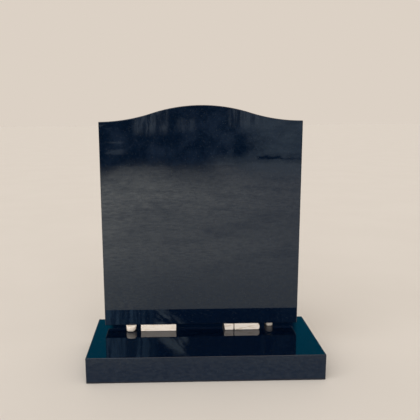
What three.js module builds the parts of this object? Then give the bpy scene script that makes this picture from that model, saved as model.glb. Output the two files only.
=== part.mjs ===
// A headstone of polished black granite. An upright tablet with an ogee top stands on loose packers
// over its base slab, the way a mason sets it down before the joint is made.
// Millimetres, +Z up. Facing the stone, +X is to the right and +Y to the back.
// The origin is the middle of the base's underside.
import * as THREE from 'three';

// Base slab
const BASE_WIDTH = 686;
const BASE_DEPTH = 305;
const BASE_HEIGHT = 77;
const BASE_ARRIS = 3;

// Tablet. The shoulders are the two ends of its curved top, and the crown is the middle.
const TABLET_WIDTH = 610;
const TABLET_THICKNESS = 76;
const SHOULDER_HEIGHT = 636;
const CROWN_RISE = 47;
const CROWN_RADIUS = 486;
const TABLET_ARRIS = 3;

// Where the tablet stands on the base: its face behind the base's front, its middle from the base's
const TABLET_SETBACK = 196;
const TABLET_OFFSET = -4;

// Packers. All are of one height, and the clear gap is left at each seat.
const PACKER_HEIGHT = 19.6;
const SEAT_GAP = 0.3;
const BUTT_GAP = 1.2;

// Two wide blocks carry the tablet. They stand a little proud of its face and end under its back.
const BLOCK_PROUD = 3;
const BLOCK_BACK_INSET = 8;
const BLOCK_EDGE = 0.8;
const LEFT_BLOCK_WIDTH = 112;
const LEFT_BLOCK_MIDDLE = -136;
const RIGHT_SHORT_WIDTH = 31;
const RIGHT_LONG_WIDTH = 82;
const RIGHT_BUTT_AT = 104;
const RIGHT_BLOCK_EDGE = 1.8;

// Two small rounded ones stand further out, the left one pushed forwards and the right one back.
const SMALL_LEFT = { width: 32, depth: 46, middle: -222, proud: 14 };
const SMALL_RIGHT = { width: 24, depth: 40, middle: 222, proud: -25 };
const SMALL_EDGE = 5;
const SMALL_FACE_CORNER = 3;

// Radius that is left on the corners of a flat face inside its rounded edge
const FACE_CORNER = 1;

// Fineness of the curves
const TOP_SEGMENTS = 14;
const CORNER_SEGMENTS = 3;
const ARRIS_SEGMENTS = 2;
const SMALL_EDGE_SEGMENTS = 4;

const QUARTER = Math.PI / 2;
const baseFront = -BASE_DEPTH / 2;
const tabletFront = baseFront + TABLET_SETBACK;
const packerSeat = BASE_HEIGHT + SEAT_GAP;
const tabletFoot = packerSeat + PACKER_HEIGHT + SEAT_GAP;

const BLACK_GRANITE = { color: 0x1b2028, roughness: 0.08, metalness: 0 };
const PALE_WOOD = { color: 0xdcd1c0, roughness: 0.7, metalness: 0 };

// A plan outline extruded upwards, with the same rounded edge at its foot and its top.
function slab(outline, height, edge, edgeSegments, curveSegments) {
  const geometry = new THREE.ExtrudeGeometry(outline, {
    depth: height - 2 * edge,
    bevelThickness: edge,
    bevelSize: edge,
    bevelOffset: -edge,
    bevelSegments: edgeSegments,
    curveSegments,
  });
  return geometry.translate(0, 0, edge);
}

// A rectangle from x, y with its corners rounded to a radius.
function roundedRectangle(x, y, width, depth, radius) {
  const left = x + radius;
  const right = x + width - radius;
  const near = y + radius;
  const far = y + depth - radius;
  const outline = new THREE.Shape();
  outline.absarc(right, near, radius, -QUARTER, 0, false);
  outline.absarc(right, far, radius, 0, QUARTER, false);
  outline.absarc(left, far, radius, QUARTER, 2 * QUARTER, false);
  outline.absarc(left, near, radius, 2 * QUARTER, 3 * QUARTER, false);
  return outline;
}

// The face of the tablet, from its foot up. The top runs level out of each shoulder in a hollow arc
// that meets the crown's arc without a kink, so the hollow's radius follows from the crown's.
function tabletOutline() {
  const corner = TABLET_ARRIS + FACE_CORNER;
  const span = TABLET_WIDTH / 2 - corner;
  const bothRadii = (span ** 2 + CROWN_RISE ** 2) / (2 * CROWN_RISE);
  const hollowRadius = bothRadii - CROWN_RADIUS;
  const sweep = Math.asin(span / bothRadii);
  const hollowCentre = SHOULDER_HEIGHT + hollowRadius;
  const crownCentre = SHOULDER_HEIGHT + CROWN_RISE - CROWN_RADIUS;
  const cornerCentre = SHOULDER_HEIGHT - corner;
  const outline = new THREE.Shape();
  outline.absarc(span, corner, corner, -QUARTER, 0, false);
  outline.absarc(span, cornerCentre, corner, 0, QUARTER, false);
  outline.absarc(span, hollowCentre, hollowRadius, -QUARTER, -QUARTER - sweep, true);
  outline.absarc(0, crownCentre, CROWN_RADIUS, QUARTER - sweep, QUARTER + sweep, false);
  outline.absarc(-span, hollowCentre, hollowRadius, sweep - QUARTER, -QUARTER, true);
  outline.absarc(-span, cornerCentre, corner, QUARTER, 2 * QUARTER, false);
  outline.absarc(-span, corner, corner, 2 * QUARTER, 3 * QUARTER, false);
  return outline;
}

function named(name, geometry, finish) {
  const mesh = new THREE.Mesh(geometry, new THREE.MeshStandardMaterial(finish));
  mesh.name = name;
  return mesh;
}

function makeBase() {
  const corner = BASE_ARRIS + FACE_CORNER;
  const plan = roundedRectangle(-BASE_WIDTH / 2, baseFront, BASE_WIDTH, BASE_DEPTH, corner);
  const geometry = slab(plan, BASE_HEIGHT, BASE_ARRIS, ARRIS_SEGMENTS, CORNER_SEGMENTS);
  return named('base', geometry, BLACK_GRANITE);
}

function makeTablet() {
  const geometry = slab(
    tabletOutline(), TABLET_THICKNESS, TABLET_ARRIS, ARRIS_SEGMENTS, TOP_SEGMENTS,
  );
  geometry.rotateX(Math.PI / 2);
  const tablet = named('tablet', geometry, BLACK_GRANITE);
  tablet.position.set(TABLET_OFFSET, tabletFront + TABLET_THICKNESS, tabletFoot);
  return tablet;
}

// A packer's near face is measured forwards from the tablet's face, and its sides from its middle.
function makePacker(name, from, width, proud, depth, faceCorner, edge, edgeSegments) {
  const plan = roundedRectangle(from, -proud, width, depth, edge + faceCorner);
  const geometry = slab(plan, PACKER_HEIGHT, edge, edgeSegments, CORNER_SEGMENTS);
  const packer = named(name, geometry, PALE_WOOD);
  packer.position.set(TABLET_OFFSET, tabletFront, packerSeat);
  return packer;
}

function makeBlock(name, from, width, edge) {
  const depth = BLOCK_PROUD + TABLET_THICKNESS - BLOCK_BACK_INSET;
  return makePacker(name, from, width, BLOCK_PROUD, depth, FACE_CORNER, edge, ARRIS_SEGMENTS);
}

function makeSmall(name, size) {
  const from = size.middle - size.width / 2;
  return makePacker(
    name, from, size.width, size.proud, size.depth, SMALL_FACE_CORNER, SMALL_EDGE,
    SMALL_EDGE_SEGMENTS,
  );
}

const headstone = new THREE.Group();
headstone.name = 'headstone';
headstone.add(
  makeBase(),
  makeBlock('packer_left', LEFT_BLOCK_MIDDLE - LEFT_BLOCK_WIDTH / 2, LEFT_BLOCK_WIDTH, BLOCK_EDGE),
  makeBlock(
    'packer_right_short', RIGHT_BUTT_AT - BUTT_GAP / 2 - RIGHT_SHORT_WIDTH, RIGHT_SHORT_WIDTH,
    RIGHT_BLOCK_EDGE,
  ),
  makeBlock('packer_right_long', RIGHT_BUTT_AT + BUTT_GAP / 2, RIGHT_LONG_WIDTH, RIGHT_BLOCK_EDGE),
  makeSmall('packer_small_left', SMALL_LEFT),
  makeSmall('packer_small_right', SMALL_RIGHT),
  makeTablet(),
);

export default headstone;
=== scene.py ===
"""A headstone of polished black granite on loose packers, dressed round its solids."""
import math

import bmesh
import bpy
from mathutils import Matrix, Vector


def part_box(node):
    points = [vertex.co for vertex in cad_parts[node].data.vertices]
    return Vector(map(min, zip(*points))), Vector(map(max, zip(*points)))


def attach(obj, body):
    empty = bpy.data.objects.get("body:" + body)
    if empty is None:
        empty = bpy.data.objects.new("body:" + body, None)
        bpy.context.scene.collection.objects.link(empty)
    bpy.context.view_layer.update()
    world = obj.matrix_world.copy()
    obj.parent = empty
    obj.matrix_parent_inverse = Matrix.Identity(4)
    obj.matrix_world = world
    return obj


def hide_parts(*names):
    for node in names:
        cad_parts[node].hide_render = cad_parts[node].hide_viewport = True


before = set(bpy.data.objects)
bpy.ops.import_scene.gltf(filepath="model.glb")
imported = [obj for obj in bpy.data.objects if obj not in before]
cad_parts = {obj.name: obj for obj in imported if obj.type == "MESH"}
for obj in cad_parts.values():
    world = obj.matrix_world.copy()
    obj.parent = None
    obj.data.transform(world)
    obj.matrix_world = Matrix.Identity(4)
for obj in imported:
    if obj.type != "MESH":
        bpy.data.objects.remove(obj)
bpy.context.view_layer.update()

# The base slab. One block of black granite, sawn to size and mirror polished all round but for its
# back, which is only honed. Its arrises are rubbed round by hand, and it lies on the ground by its
# own weight.
BASE_ARRIS = 0.0022
ARRIS_STEPS = 4
SHARP_ANGLE = math.radians(30)
FACE_WEIGHT = 100
FACE_THRESHOLD = 0.0001
BACKWARDS = 0.9


class Level:
    """A number that varies. Arithmetic on it adds the Math nodes."""

    def __init__(self, nodes, socket):
        self.nodes = nodes
        self.socket = socket

    def worked(self, operation, *parts):
        made = self.nodes.node("ShaderNodeMath", {"operation": operation}, dict(enumerate(parts)))
        return Level(self.nodes, made.outputs[0])

    def __add__(self, other):
        return self.worked("ADD", self, other)

    def __sub__(self, other):
        return self.worked("SUBTRACT", self, other)

    def __mul__(self, other):
        return self.worked("MULTIPLY", self, other)

    def __truediv__(self, other):
        return self.worked("DIVIDE", self, other)

    def __lt__(self, other):
        return self.worked("LESS_THAN", self, other)

    def __gt__(self, other):
        return self.worked("GREATER_THAN", self, other)

    def __abs__(self):
        return self.worked("ABSOLUTE", self)

    def root(self):
        return self.worked("SQRT", self)


class Nodes:
    """A node tree in the making. Sockets take numbers, colours, links, levels or a list of links."""

    def __init__(self, tree):
        self.tree = tree

    def node(self, kind, settings=None, sockets=None):
        made = self.tree.nodes.new(kind)
        for key, value in (settings or {}).items():
            setattr(made, key, value)
        for key, value in (sockets or {}).items():
            for part in value if isinstance(value, list) else [value]:
                if isinstance(part, Level):
                    part = part.socket
                if isinstance(part, bpy.types.NodeSocket):
                    self.tree.links.new(part, made.inputs[key])
                else:
                    made.inputs[key].default_value = part
        return made


class Finish(Nodes):
    """A material in the making."""

    def __init__(self, name):
        self.material = bpy.data.materials.new(name)
        self.material.use_nodes = True
        super().__init__(self.material.node_tree)
        self.tree.nodes.clear()

    def place(self):
        """Object coordinates, in metres in the row frame."""
        return self.node("ShaderNodeTexCoord").outputs["Object"]

    def squeezed(self, place, scale):
        """The same place with each axis drawn out or squeezed."""
        return self.node("ShaderNodeMapping", None, {"Vector": place, "Scale": scale}).outputs[0]

    def axis(self, place, letter):
        return Level(self, self.node("ShaderNodeSeparateXYZ", None, {0: place}).outputs[letter])

    def noise(self, place, per_metre, detail=2.0, roughness=0.5, warp=0.0):
        sockets = {
            "Vector": place,
            "Scale": per_metre,
            "Detail": detail,
            "Roughness": roughness,
            "Distortion": warp,
        }
        return Level(self, self.node("ShaderNodeTexNoise", None, sockets).outputs["Fac"])

    def grains(self, place, per_metre):
        """A random number for each crystal."""
        cells = self.node("ShaderNodeTexVoronoi", None, {"Vector": place, "Scale": per_metre})
        parts = self.node("ShaderNodeSeparateColor", None, {0: cells.outputs["Color"]})
        return Level(self, parts.outputs[0])

    def step(self, level, low, high, to_low=0.0, to_high=1.0):
        """A smooth change from to_low to to_high while the level rises from low to high."""
        sockets = {
            "Value": level,
            "From Min": low,
            "From Max": high,
            "To Min": to_low,
            "To Max": to_high,
        }
        made = self.node("ShaderNodeMapRange", {"interpolation_type": "SMOOTHSTEP"}, sockets)
        return Level(self, made.outputs["Result"])

    def between(self, level, low, high, soft):
        """1 where the level lies between low and high, and 0 further out than soft."""
        return self.step(level, low - soft, low) * self.step(level, high, high + soft, 1, 0)

    def mix(self, share, first, second):
        """A colour between two others."""
        made = self.node("ShaderNodeMix", {"data_type": "RGBA"}, {0: share, 6: first, 7: second})
        return made.outputs[2]

    def bump(self, height, rise):
        return self.node("ShaderNodeBump", None, {"Height": height, "Distance": rise}).outputs[0]

    def surface(self, sockets):
        shader = self.node("ShaderNodeBsdfPrincipled", None, sockets)
        self.node("ShaderNodeOutputMaterial", None, {"Surface": shader.outputs[0]})
        return self.material


GRANITE_BODY = (0.0002, 0.0028, 0.0116, 1)
GRANITE_MOTTLE = (0.0010, 0.0050, 0.0156, 1)
GRANITE_FLECK = (0.010, 0.015, 0.024, 1)
GRANITE_GLINT = (0.030, 0.036, 0.044, 1)
GRANITE_IOR = 1.55
LATH_STRETCH = (1.0, 0.6, 2.6)
LATH_SHARE = 0.45
GLINT_SHARE = 0.6
CRYSTALS_PER_M = 620
LATHS_PER_M = 260
MOTTLE_PER_M = 120
CLOUD_PER_M = 7
WAVE_PER_M = 22
WAVE_RISE = 0.00006


def granite_colour(finish, place):
    """Black ground with dark mottle, slender grey crystals and a few bright specks."""
    mottle = finish.step(finish.noise(place, MOTTLE_PER_M, 5, 0.65), 0.35, 0.70)
    ground = finish.mix(mottle, GRANITE_BODY, GRANITE_MOTTLE)
    laths = finish.grains(finish.squeezed(place, LATH_STRETCH), LATHS_PER_M)
    flecked = finish.mix(finish.step(laths, 0.86, 1.0, 0, LATH_SHARE), ground, GRANITE_FLECK)
    specks = finish.grains(place, CRYSTALS_PER_M)
    return finish.mix(finish.step(specks, 0.97, 1.0, 0, GLINT_SHARE), flecked, GRANITE_GLINT)


POLISH_CLOUD = 0.012
POLISH_CRYSTALS = 0.006


def polished_granite(name, polish):
    """Mirror bright, a little less so in clouds and from crystal to crystal, and barely wavy."""
    finish = Finish(name)
    place = finish.place()
    cloud = finish.noise(place, CLOUD_PER_M, 4, 0.6, 0.4)
    crystals = finish.grains(place, CRYSTALS_PER_M)
    clouded = finish.step(cloud, 0.3, 0.75, polish, polish + POLISH_CLOUD)
    return finish.surface({
        "Base Color": granite_colour(finish, place),
        "Roughness": clouded + crystals * POLISH_CRYSTALS,
        "IOR": GRANITE_IOR,
        "Normal": finish.bump(finish.noise(place, WAVE_PER_M, 2, 0.5), WAVE_RISE),
    })


SAW_PER_M = 55
SAW_STRETCH = (0.25, 1.0, 6.0)
SAW_RISE = 0.00025
HONED_SPREAD = 0.06
HONED_GREY = (0.045, 0.052, 0.060, 1)


def honed_granite(name, rough):
    """The same stone rubbed smooth and left unpolished, greyer, with the saw's faint lines."""
    finish = Finish(name)
    place = finish.place()
    lines = finish.noise(finish.squeezed(place, SAW_STRETCH), SAW_PER_M, 3, 0.6, 0.3)
    grain = finish.noise(place, CRYSTALS_PER_M, 2)
    rubbed = finish.step(lines, 0.3, 0.7, 0.25, 0.55)
    return finish.surface({
        "Base Color": finish.mix(rubbed, granite_colour(finish, place), HONED_GREY),
        "Roughness": finish.step(grain, 0.3, 0.7, rough - HONED_SPREAD, rough + HONED_SPREAD),
        "IOR": GRANITE_IOR,
        "Normal": finish.bump(lines * 0.8 + grain * 0.2, SAW_RISE),
    })


POLISH = 0.012
HONED = 0.42
granite_polished = polished_granite("granite polished", POLISH)
granite_honed = honed_granite("granite honed", HONED)


def placed(name, mesh):
    made = bpy.data.objects.new(name, mesh)
    bpy.context.scene.collection.objects.link(made)
    return made


def finished(name, work, finishes):
    """The shape in the making as an object. Its back gets the last finish."""
    bmesh.ops.recalc_face_normals(work, faces=work.faces)
    for one in work.faces:
        one.smooth = True
        one.material_index = len(finishes) - 1 if one.normal.y > BACKWARDS else 0
    mesh = bpy.data.meshes.new(name)
    work.to_mesh(mesh)
    work.free()
    for finish in finishes:
        mesh.materials.append(finish)
    return placed(name, mesh)


def cut_block(name, outline, run, finishes):
    """A block from an outline and the run it is drawn out by."""
    work = bmesh.new()
    face = work.faces.new([work.verts.new(point) for point in outline])
    drawn = bmesh.ops.extrude_face_region(work, geom=[face])
    moved = [part for part in drawn["geom"] if isinstance(part, bmesh.types.BMVert)]
    bmesh.ops.translate(work, verts=moved, vec=run)
    return finished(name, work, finishes)


def flatten_faces(piece):
    """Shading that keeps the large faces flat up to their rounded edges."""
    evened = piece.modifiers.new("flat faces", "WEIGHTED_NORMAL")
    evened.weight = FACE_WEIGHT
    evened.thresh = FACE_THRESHOLD


def round_edges(piece, arris, steps):
    """Every sharp edge rubbed round, in the piece's first finish."""
    bevel = piece.modifiers.new("arris", "BEVEL")
    bevel.width = arris
    bevel.segments = steps
    bevel.limit_method = "ANGLE"
    bevel.angle_limit = SHARP_ANGLE
    bevel.material = 0
    flatten_faces(piece)


low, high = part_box("base")
base_plan = [
    (low.x, low.y, low.z),
    (high.x, low.y, low.z),
    (high.x, high.y, low.z),
    (low.x, high.y, low.z),
]
upwards = Vector((0, 0, high.z - low.z))
base = cut_block("base_slab", base_plan, upwards, (granite_polished, granite_honed))
round_edges(base, BASE_ARRIS, ARRIS_STEPS)
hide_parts("base")
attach(base, "root")

# The packers. Offcuts of pale planed softwood that the mason slips under the tablet to keep it off
# the base while the joint is open. Two wide ones carry it, the right one made of two butted pieces
# a little greyer than the rest. Two small ones, flat on top and rounded under, lie further out.
WOOD_EARLY = (0.95, 0.88, 0.79, 1)
WOOD_LATE = (0.70, 0.58, 0.44, 1)
GREYED_EARLY = (0.83, 0.77, 0.695, 1)
GREYED_LATE = (0.61, 0.51, 0.40, 1)
CLEAN_GRAIN = 0.34
GREYED_GRAIN = 0.62
FIBRE_GRAIN = 0.16
RINGS_PER_M = 170
RING_STRETCH = (0.22, 0.02, 1.0)
FIBRES_PER_M = 420
FIBRE_STRETCH = (1.0, 0.04, 1.0)
WOOD_SMOOTH = 0.55
WOOD_ROUGH = 0.75
WOOD_RISE = 0.0003


def softwood(name, early, late, grain):
    """Rings run through the block from front to back, so its front shows them end on."""
    finish = Finish(name)
    place = finish.place()
    bands = finish.noise(finish.squeezed(place, RING_STRETCH), RINGS_PER_M, 2, 0.4, 0.2)
    fibres = finish.noise(finish.squeezed(place, FIBRE_STRETCH), FIBRES_PER_M, 3)
    ring_share = finish.step(bands, 0.52, 0.60, 0, grain)
    fibre_share = finish.step(fibres, 0.45, 0.8, 0, FIBRE_GRAIN)
    return finish.surface({
        "Base Color": finish.mix(ring_share + fibre_share, early, late),
        "Roughness": finish.step(fibres, 0.3, 0.7, WOOD_SMOOTH, WOOD_ROUGH),
        "Normal": finish.bump(fibres * 0.6 + bands * 0.4, WOOD_RISE),
    })


clean_wood = softwood("softwood packer", WOOD_EARLY, WOOD_LATE, CLEAN_GRAIN)
greyed_wood = softwood("softwood offcut", GREYED_EARLY, GREYED_LATE, GREYED_GRAIN)


def wide_packer(node, name, wood, shares, edge, steps):
    """An outline from the front, in shares of width and height, drawn out to the packer's depth."""
    low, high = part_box(node)
    outline = []
    for across, up in shares:
        x = low.x + across * (high.x - low.x)
        z = low.z + up * (high.z - low.z)
        outline.append((x, high.y, z))
    piece = cut_block(name, outline, Vector((0, low.y - high.y, 0)), (wood,))
    round_edges(piece, edge, steps)
    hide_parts(node)
    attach(piece, "root")


LEFT_BLOCK = ((0.005, 0), (0.998, 0), (1, 1), (0, 1))
RIGHT_OFFCUT = ((0.10, 0), (0.97, 0), (0.98, 1), (0, 1))
RIGHT_BLOCK = (
    (0.012, 0), (0.955, 0), (0.98, 0.18), (0.99, 0.60), (0.965, 0.86), (0.93, 1), (0.012, 1),
)
CLEAN_EDGE = 0.0008
CLEAN_EDGE_STEPS = 2
WORN_EDGE = 0.0017
WORN_EDGE_STEPS = 3
wide_packer("packer_left", "left_block", clean_wood, LEFT_BLOCK, CLEAN_EDGE, CLEAN_EDGE_STEPS)
wide_packer(
    "packer_right_short", "right_offcut", greyed_wood, RIGHT_OFFCUT, WORN_EDGE, WORN_EDGE_STEPS,
)
wide_packer(
    "packer_right_long", "right_block", greyed_wood, RIGHT_BLOCK, WORN_EDGE, WORN_EDGE_STEPS,
)

PEBBLE_POINTS = 40
PEBBLE_SQUARENESS = 3.0
PEBBLE_BELLY = 2.6
UNDER_STEPS = 12
TOP_EDGE = 0.10
TOP_EDGE_STEPS = 3
QUARTER_TURN = math.pi / 2


def pebble_profile(foot):
    """Spread and rise from the foot up to the flat top, in shares of the plan and the height."""
    profile = []
    for i in range(UNDER_STEPS + 1):
        turn = QUARTER_TURN * i / UNDER_STEPS
        spread = math.sin(turn) ** (2 / PEBBLE_BELLY)
        rise = 1 - math.cos(turn) ** (2 / PEBBLE_BELLY)
        profile.append((foot + (1 - foot) * spread, (1 - TOP_EDGE) * rise))
    for i in range(1, TOP_EDGE_STEPS + 1):
        turn = QUARTER_TURN * i / TOP_EDGE_STEPS
        spread = 1 - TOP_EDGE * (1 - math.cos(turn))
        profile.append((spread, 1 - TOP_EDGE + TOP_EDGE * math.sin(turn)))
    return profile


def squared(wave):
    """A sine or cosine filled out, so that the plan is squarer than an ellipse."""
    return math.copysign(abs(wave) ** (2 / PEBBLE_SQUARENESS), wave)


def small_packer(node, name, wood, foot, lean):
    """Flat on top and rounded under down to a smaller foot, which lies to one side by the lean."""
    low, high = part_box(node)
    middle = (low + high) / 2
    half = (high - low) / 2
    work = bmesh.new()
    rings = []
    for spread, rise in pebble_profile(foot):
        aside = lean * (1 - rise) ** 2
        ring = []
        for i in range(PEBBLE_POINTS):
            turn = 4 * QUARTER_TURN * i / PEBBLE_POINTS
            ring.append(work.verts.new((
                middle.x + half.x * (spread * squared(math.cos(turn)) + aside),
                middle.y + half.y * spread * squared(math.sin(turn)),
                low.z + (high.z - low.z) * rise,
            )))
        rings.append(ring)
    for under, over in zip(rings, rings[1:]):
        for i in range(PEBBLE_POINTS):
            after = (i + 1) % PEBBLE_POINTS
            work.faces.new((under[i], under[after], over[after], over[i]))
    work.faces.new(reversed(rings[0]))
    work.faces.new(rings[-1])
    piece = finished(name, work, (wood,))
    flatten_faces(piece)
    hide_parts(node)
    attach(piece, "root")


LEFT_FOOT = 0.52
LEFT_LEAN = -0.16
RIGHT_FOOT = 0.86
RIGHT_LEAN = 0.06
small_packer("packer_small_left", "left_wedge", clean_wood, LEFT_FOOT, LEFT_LEAN)
small_packer("packer_small_right", "right_wedge", clean_wood, RIGHT_FOOT, RIGHT_LEAN)

# The tablet. An upright slab of the same granite, its top an ogee that runs level out of each
# shoulder, hollow first and then round over the crown. Face, top and ends are mirror polished and
# the back is honed. It stands on the packers by its own weight.
CROWN_RISE = 0.047
CROWN_RADIUS = 0.486
TABLET_ARRIS = 0.0022
TOP_STEPS = 144
MERGE_WITHIN = 0.00001


class Shape(Nodes):
    """A Geometry Nodes tree in the making, with named inputs for its sizes."""

    def __init__(self, name, sizes):
        super().__init__(bpy.data.node_groups.new(name, "GeometryNodeTree"))
        face = self.tree.interface
        face.new_socket("Geometry", in_out="OUTPUT", socket_type="NodeSocketGeometry")
        self.keys = {}
        for size in sizes:
            made = face.new_socket(size, in_out="INPUT", socket_type="NodeSocketFloat")
            self.keys[size] = made.identifier
        self.entry = self.node("NodeGroupInput")

    def size(self, name):
        return Level(self, self.entry.outputs[name])

    def vector(self, x, y, z):
        return self.node("ShaderNodeCombineXYZ", None, {0: x, 1: y, 2: z}).outputs[0]

    def geometry(self, kind, sockets):
        """The geometry that a node gives, whose type is named without its prefix."""
        return self.node("GeometryNode" + kind, None, sockets).outputs[0]

    def piece(self, name, values):
        """The tree's result for these sizes as a plain mesh, without the grid's empty material."""
        made = placed(name, bpy.data.meshes.new(name + "_start"))
        grown = made.modifiers.new("grown", "NODES")
        grown.node_group = self.tree
        for size, value in values.items():
            grown[self.keys[size]] = value
        evaluated = made.evaluated_get(bpy.context.evaluated_depsgraph_get())
        mesh = bpy.data.meshes.new_from_object(evaluated)
        mesh.materials.pop(index=0)
        made.modifiers.remove(grown)
        made.data = mesh
        return made


ogee = Shape("ogee slab", ["Width", "Thickness", "Height", "Crown rise", "Crown radius"])
width = ogee.size("Width")
thickness = ogee.size("Thickness")
height = ogee.size("Height")
crown_rise = ogee.size("Crown rise")
crown_radius = ogee.size("Crown radius")

# The hollow and the crown meet without a kink, so the hollow's radius follows from the crown's.
half = width * 0.5
both_radii = (half * half + crown_rise * crown_rise) / (crown_rise * 2)
hollow_radius = both_radii - crown_radius
meeting = half * crown_radius / both_radii

grid = {"Size X": width, "Size Y": 1.0, "Vertices X": TOP_STEPS + 1, "Vertices Y": 2}
strips = ogee.geometry("MeshGrid", grid)
position = ogee.node("GeometryNodeInputPosition").outputs[0]
parts = ogee.node("ShaderNodeSeparateXYZ", None, {0: position})
across = Level(ogee, parts.outputs["X"])
share = Level(ogee, parts.outputs["Y"]) + 0.5
out = abs(across)
inward = half - out
over_crown = height - crown_radius + (crown_radius * crown_radius - out * out).root()
under_bow = (hollow_radius * hollow_radius - inward * inward).root()
over_hollow = height - crown_rise + hollow_radius - under_bow
top = over_hollow + (over_crown - over_hollow) * (out < meeting)
back = ogee.geometry("SetPosition", {
    "Geometry": strips,
    "Position": ogee.vector(across, thickness * 0.5, share * top),
})
drawn = ogee.geometry("ExtrudeMesh", {
    "Mesh": back,
    "Offset": ogee.vector(0, thickness * -1, 0),
    "Offset Scale": 1.0,
    "Individual": False,
})
closing = ogee.geometry("FlipFaces", {"Mesh": back})
both = ogee.geometry("JoinGeometry", {"Geometry": [drawn, closing]})
block = ogee.geometry("MergeByDistance", {"Geometry": both, "Distance": MERGE_WITHIN})
plain = ogee.geometry("RealizeInstances", {"Geometry": block})
normal = ogee.node("GeometryNodeInputNormal").outputs[0]
facing_back = Level(ogee, ogee.node("ShaderNodeSeparateXYZ", None, {0: normal}).outputs["Y"])
polished = ogee.geometry("SetMaterial", {"Geometry": plain, "Material": granite_polished})
honed_back = ogee.geometry("SetMaterial", {
    "Geometry": polished,
    "Selection": facing_back > BACKWARDS,
    "Material": granite_honed,
})
ogee.node("NodeGroupOutput", None, {"Geometry": honed_back})

low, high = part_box("tablet")
tablet = ogee.piece("tablet_slab", {
    "Width": high.x - low.x,
    "Thickness": high.y - low.y,
    "Height": high.z - low.z,
    "Crown rise": CROWN_RISE,
    "Crown radius": CROWN_RADIUS,
})
foot_middle = Vector(((low.x + high.x) / 2, (low.y + high.y) / 2, low.z))
tablet.data.transform(Matrix.Translation(foot_middle))
tablet.data.shade_smooth()
round_edges(tablet, TABLET_ARRIS, ARRIS_STEPS)
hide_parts("tablet")
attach(tablet, "root")

# The floor and the light. A wide pale floor under an even pale surround, and one broad soft lamp
# from the front left, high enough to light the packers' fronts. Reflections don't see the lamp, so
# the highlights on the arrises are a painted highlight from a glowing card overhead.
PALE = (0.716, 0.638, 0.558, 1)
FLOOR_COLOUR = (0.702, 0.678, 0.646, 1)
FLOOR_SHADE = (0.678, 0.653, 0.620, 1)
FLOOR_HALF = 40
FLOOR_TONES_PER_M = 2.5
FLOOR_ROUGHNESS = 0.9


def level_at(height, left, right, near, far):
    return [(left, near, height), (right, near, height), (right, far, height), (left, far, height)]


def sheet_of(name, corners, material):
    mesh = bpy.data.meshes.new(name)
    mesh.from_pydata(corners, [], [(0, 1, 2, 3)])
    mesh.materials.append(material)
    made = placed(name, mesh)
    return made


floor_finish = Finish("floor")
tones = floor_finish.noise(floor_finish.place(), FLOOR_TONES_PER_M, 4)
floor_tone = floor_finish.step(tones, 0.3, 0.7, 0, 0.5)
floor_material = floor_finish.surface({
    "Base Color": floor_finish.mix(floor_tone, FLOOR_COLOUR, FLOOR_SHADE),
    "Roughness": FLOOR_ROUGHNESS,
    "Specular IOR Level": 0.0,
})
floor_corners = level_at(0, -FLOOR_HALF, FLOOR_HALF, -FLOOR_HALF, FLOOR_HALF)
sheet_of("floor", floor_corners, floor_material)

world = bpy.data.worlds.new("surround")
world.use_nodes = True
world.node_tree.nodes["Background"].inputs["Color"].default_value = PALE
bpy.context.scene.world = world

KEY_STRENGTH = 1.9
KEY_ELEVATION = math.radians(32)
KEY_AZIMUTH = math.radians(-22)
KEY_ANGLE = math.radians(90)
key = bpy.data.lights.new("key", "SUN")
key.energy = KEY_STRENGTH
key.angle = KEY_ANGLE
key_object = bpy.data.objects.new("key", key)
towards = Vector((
    math.sin(KEY_AZIMUTH) * math.cos(KEY_ELEVATION),
    -math.cos(KEY_AZIMUTH) * math.cos(KEY_ELEVATION),
    math.sin(KEY_ELEVATION),
))
key_object.rotation_euler = towards.to_track_quat("Z", "Y").to_euler()
key_object.visible_glossy = False
bpy.context.scene.collection.objects.link(key_object)

# The cards. Polished black stone shows what stands round it, so large glowing cards that light
# nothing and that only reflections see paint a surround into it: painted reflections of a pale floor
# in front, dark ones beyond it and at the sides, a blue one above those, a painted highlight
# overhead, and two blue ones behind.
FOOT_SHADE_CARD = (0.20, 0.265, 0.375, 1)
NEAR_CARD = (0.45, 0.515, 0.605, 1)
MIDDLE_CARD = (0.84, 0.895, 0.865, 1)
MIDDLE_DIM_CARD = (0.645, 0.685, 0.675, 1)
BRIGHT_CARD = (1.91, 1.94, 1.80, 1)
DIM_CARD = (0.95, 0.99, 1.00, 1)
SPECKLED_CARD = (0.20, 0.25, 0.32, 1)
DARK_CARD = (0.030, 0.052, 0.072, 1)
PATCH_CARD = (0.148, 0.222, 0.335, 1)
LAST_LIT_CARD = (0.95, 1.00, 0.97, 1)
STREAK_CARD = (0.78, 0.94, 1.08, 1)
HAZE_CARD = (0.53, 0.68, 0.80, 1)
HIGH_CARD = (0.09, 0.19, 0.44, 1)
HIGH_PALE_CARD = (1.45, 2.60, 3.90, 1)
SMEAR_CARD = (2.7, 3.5, 4.1, 1)
SMEAR_SLOPE = math.radians(36)
ARRIS_HIGHLIGHT_CARD = (2.6, 2.35, 2.05, 1)
BLUE_CARD = (0.002, 0.154, 0.254, 1)
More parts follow.
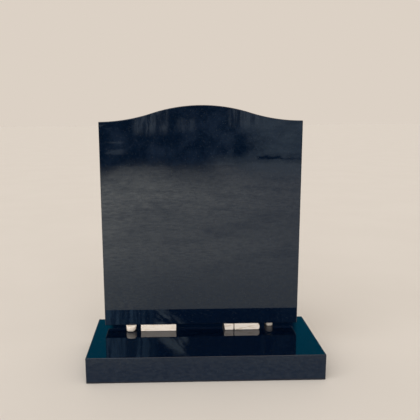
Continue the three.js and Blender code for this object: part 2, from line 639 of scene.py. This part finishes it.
# Painted shade, seen through the gap under the tablet.
GAP_SHADE_CARD = (0.002, 0.018, 0.055, 1)
CLOSE_CARD = (0.052, 0.140, 0.390, 1)
CARD_HALF = 7.0
CARD_LIFT = 0.002
FLOOR_CARD_EDGE = -0.158
FAR_Y = -6.6
FAR_TOP = 1.55
AWAY_PER_RISE = 11
HIGH_TOP = 5.0
BEHIND_Y = 6
BEHIND_HALF = 9
BEHIND_FOOT = 1.9
BEHIND_TOP = 5.5
CLOSE_SPAN = (-0.50, 0.58, 0.24, 0.44)
HIGHLIGHT_CARD_HEIGHT = 2.2
HIGHLIGHT_CARD_SPAN = (-3, 3, -1.7, -0.75)
SIDE_X = 2.4
SIDE_SPAN = (-4.5, 1.5, 0, 1.5)
RAGGED_BY = 1.2
FINE_SHARE = 0.6
PATCH_SHARE = 0.30
STREAK_SHARE = 0.62
LEDGE_SHARE = 0.38
LINE_SHARE = 0.9
BELT_SHARE = 0.26
HAZE_WANDER = 1.6
SMEAR_WANDER = 0.4


def card(name, corners, colour_of):
    # A glowing sheet seen only in reflections: what it shows is a painted reflection.
    finish = Finish(name)
    shader = finish.node("ShaderNodeEmission", None, {"Color": colour_of(finish, finish.place())})
    finish.node("ShaderNodeOutputMaterial", None, {"Surface": shader.outputs[0]})
    made = sheet_of(name, corners, finish.material)
    made.visible_camera = False
    made.visible_diffuse = False
    made.visible_shadow = False
    made.visible_transmission = False


def facing(y, left, right, foot, top):
    return [(left, y, foot), (right, y, foot), (right, y, top), (left, y, top)]


def beside(x, near, far, foot, top):
    return [(x, near, foot), (x, far, foot), (x, far, top), (x, near, top)]


def even(colour):
    return lambda finish, place: colour


def given_way(finish, place, across, away):
    """How far the pale ground has given way to what lies beyond it. Its edge is soft and uneven."""
    ragged = away + (finish.noise(place, 0.9, 4, 0.6) - 0.5) * RAGGED_BY
    ragged = ragged + finish.step(across, -1.05, -0.75, 1.1, 0)
    ragged = ragged + finish.between(across, -0.05, 0.32, 0.25) * 0.7
    ragged = ragged - finish.between(across, 0.62, 0.80, 0.12) * 0.5
    return finish.step(ragged, 3.6, 8.6)


def front_floor(finish, place):
    """A painted reflection of the floor: painted shade, dim and blue at the stone's foot, brighter
    away from it, and painted light a little stronger on the left.
    """
    away = finish.axis(place, "Y") * -1
    across = finish.axis(place, "X")
    drawn_out = finish.noise(finish.squeezed(place, (0.5, 1.0, 1.0)), 36, 5, 0.78)
    coarse = finish.step(drawn_out, 0.42, 0.62)
    rolling = finish.noise(finish.squeezed(place, (0.8, 1.0, 1.0)), 14, 6, 0.82)
    broad = finish.step(rolling, 0.40, 0.62)
    coarse = coarse + (broad - coarse) * finish.step(away, 1.0, 2.8)
    gritty = finish.noise(finish.squeezed(place, (0.6, 1.0, 1.0)), 80, 3, 0.7)
    fine = finish.step(gritty, 0.42, 0.60)
    patches = finish.step(finish.noise(place, 2.2, 3, 0.6), 0.45, 0.70, 0, PATCH_SHARE)
    # Painted light: brighter on the left, where the lamp stands.
    lit = finish.mix(finish.step(across, -0.7, 1.4), BRIGHT_CARD, DIM_CARD)
    lit = finish.mix(coarse * finish.step(away, 1.2, 4.0, 0.46, 0.56), lit, SPECKLED_CARD)
    lit = finish.mix(patches, lit, SPECKLED_CARD)
    nearer = finish.step(away, 1.9, 3.5, 0.29, 0) * finish.step(across, -0.55, -0.30, 0.4, 1)
    lit = finish.mix(nearer, lit, SPECKLED_CARD)
    middle = finish.mix(finish.step(across, -0.34, -0.10), MIDDLE_CARD, MIDDLE_DIM_CARD)
    close = finish.mix(fine * FINE_SHARE, middle, NEAR_CARD)
    foot = finish.mix(fine * FINE_SHARE, NEAR_CARD, FOOT_SHADE_CARD)
    lit = finish.mix(finish.step(away, 0.35, 1.5), close, lit)
    # Painted shade: dim and blue at the stone's foot.
    lit = finish.mix(finish.step(away, 0.20, 0.42), foot, lit)
    beyond = finish.mix(finish.step(across, 0.55, 1.25), DARK_CARD, HAZE_CARD)
    return finish.mix(given_way(finish, place, across, away), lit, beyond)


def far_front(finish, place):
    """A painted reflection: dark, with three groups of paler upright streaks, level ones on the left,
    haze at the right.

    Its foot is still lit where the pale ground runs out, under a dim belt and a thin dark line.
    """
    across = finish.axis(place, "X")
    height = finish.axis(place, "Z")
    patches = finish.noise(place, 2.6, 5, 0.62)
    upright = finish.noise(finish.squeezed(place, (1.0, 1.0, 0.10)), 21, 3, 0.6)
    groups = (
        finish.between(across, -0.60, -0.22, 0.12) * finish.step(height, 0.42, 0.56)
        + finish.between(across, 0.03, 0.22, 0.10) * finish.between(height, 0.56, 0.66, 0.08) * 0.55
        + finish.between(across, 0.84, 1.22, 0.14) * finish.step(height, 0.52, 0.64)
    )
    streaks = finish.step(upright, 0.42, 0.58, 0.15, 1) * groups
    level = finish.noise(finish.squeezed(place, (0.16, 1.0, 1.0)), 9, 2, 0.5)
    ledges = finish.step(level, 0.48, 0.56) * finish.step(across, -0.90, -0.75, 1, 0)
    dark = finish.mix(finish.step(patches, 0.42, 0.66), DARK_CARD, PATCH_CARD)
    dark = finish.mix(streaks * STREAK_SHARE, dark, STREAK_CARD)
    dark = finish.mix(ledges * LEDGE_SHARE, dark, STREAK_CARD)
    bands = finish.noise(finish.squeezed(place, (0.30, 1.0, 1.0)), 13, 4, 0.7)
    edge = across + (patches - 0.5) * HAZE_WANDER + finish.step(height, 0.04, 0.26, 0.45, 0)
    haze = finish.step(edge, 0.80, 1.45) * finish.step(bands, 0.32, 0.62, 0.95, 0.60)
    hazed = finish.mix(haze, dark, HAZE_CARD)
    as_if_away = height * AWAY_PER_RISE - FAR_Y
    hazed = finish.mix(given_way(finish, place, across, as_if_away), LAST_LIT_CARD, hazed)
    line = (
        finish.between(across, 1.26, 1.50, 0.10) * finish.between(height, 0.094, 0.130, 0.012)
        + finish.between(across, 1.56, 1.90, 0.08) * finish.between(height, 0.090, 0.102, 0.010) * 0.5
    )
    belt = finish.between(height, 0.06, 0.15, 0.06)
    return finish.mix(line * LINE_SHARE + belt * BELT_SHARE, hazed, DARK_CARD)


def high_front(finish, place):
    """A painted reflection: deep blue, streaked and paler towards the left, with a thin smear that
    rises to the right.
    """
    across = finish.axis(place, "X")
    upright = finish.noise(finish.squeezed(place, (1.0, 1.0, 0.08)), 11, 2, 0.5)
    streaked = (
        finish.step(across, -0.70, -0.30, 1, 0) * finish.step(upright, 0.42, 0.58, 0.15, 0.85)
        + finish.step(across, 0.95, 1.15, 0, 0.08) * finish.step(upright, 0.46, 0.56)
    )
    blue = finish.mix(streaked, HIGH_CARD, HIGH_PALE_CARD)
    turn = {"Vector": place, "Rotation": (0, SMEAR_SLOPE, 0)}
    sloped = finish.node("ShaderNodeMapping", None, turn).outputs[0]
    rise = finish.axis(sloped, "Z") + (finish.noise(place, 1.6, 3, 0.5) - 0.5) * SMEAR_WANDER
    torn = finish.noise(finish.squeezed(sloped, (0.28, 1.0, 1.0)), 6.5, 4, 0.6, 0.6)
    smear = finish.between(rise, 2.16, 2.50, 0.14) * finish.between(across, -0.32, 0.04, 0.12)
    return finish.mix(smear * finish.step(torn, 0.44, 0.58), blue, SMEAR_CARD)


def behind(finish, place):
    """Blue at both sides. The middle, which shows only under the tablet, is nearly black: painted
    shade under the tablet.
    """
    across = finish.axis(place, "X")
    sides = finish.step(across, -1.06, -0.95, 1, 0) + finish.step(across, 1.62, 1.74)
    return finish.mix(sides, GAP_SHADE_CARD, BLUE_CARD)


front_corners = level_at(CARD_LIFT, -CARD_HALF, CARD_HALF, FAR_Y, FLOOR_CARD_EDGE)
behind_corners = facing(BEHIND_Y, -BEHIND_HALF, BEHIND_HALF, BEHIND_FOOT, BEHIND_TOP)
card("card_front_floor", front_corners, front_floor)
card("card_far_front", facing(FAR_Y, -CARD_HALF, CARD_HALF, 0, FAR_TOP), far_front)
card("card_high_front", facing(FAR_Y, -CARD_HALF, CARD_HALF, FAR_TOP, HIGH_TOP), high_front)
card("card_behind", behind_corners, behind)
card("card_close_behind", level_at(CARD_LIFT, *CLOSE_SPAN), even(CLOSE_CARD))
# A glowing card overhead that lights nothing: a painted highlight, mostly on the arrises, where a
# soft box would be.
card("card_soft_box", level_at(HIGHLIGHT_CARD_HEIGHT, *HIGHLIGHT_CARD_SPAN), even(ARRIS_HIGHLIGHT_CARD))
card("card_left", beside(-SIDE_X, *SIDE_SPAN), even(DARK_CARD))
card("card_right", beside(SIDE_X, *SIDE_SPAN), even(DARK_CARD))

# The camera stands a little to the left at the height of the crown and looks down at the stone.
# Its place comes from the edges of the stone in the photograph.
CAMERA_PLACE = Vector((-0.0899, -1.6084, 0.7510))
CAMERA_YAW = 0.0212
CAMERA_PITCH = 0.1799
CAMERA_ROLL = 0.0071
CAMERA_LENS = 47.0
CAMERA_SHIFT = (0.0605, 0.0117)

ahead = Vector((
    math.sin(CAMERA_YAW) * math.cos(CAMERA_PITCH),
    math.cos(CAMERA_YAW) * math.cos(CAMERA_PITCH),
    -math.sin(CAMERA_PITCH),
))
level_right = Vector((math.cos(CAMERA_YAW), -math.sin(CAMERA_YAW), 0))
level_down = ahead.cross(level_right)
right = math.cos(CAMERA_ROLL) * level_right + math.sin(CAMERA_ROLL) * level_down
down = math.cos(CAMERA_ROLL) * level_down - math.sin(CAMERA_ROLL) * level_right
camera_data = bpy.data.cameras.new("camera")
camera_data.lens = CAMERA_LENS
camera_data.shift_x, camera_data.shift_y = CAMERA_SHIFT
camera = bpy.data.objects.new("camera", camera_data)
turned = Matrix((right, -down, -ahead)).transposed().to_4x4()
camera.matrix_world = Matrix.Translation(CAMERA_PLACE) @ turned
bpy.context.scene.collection.objects.link(camera)
bpy.context.scene.camera = camera
bpy.context.scene.view_settings.view_transform = "Standard"

bpy.context.view_layer.update()
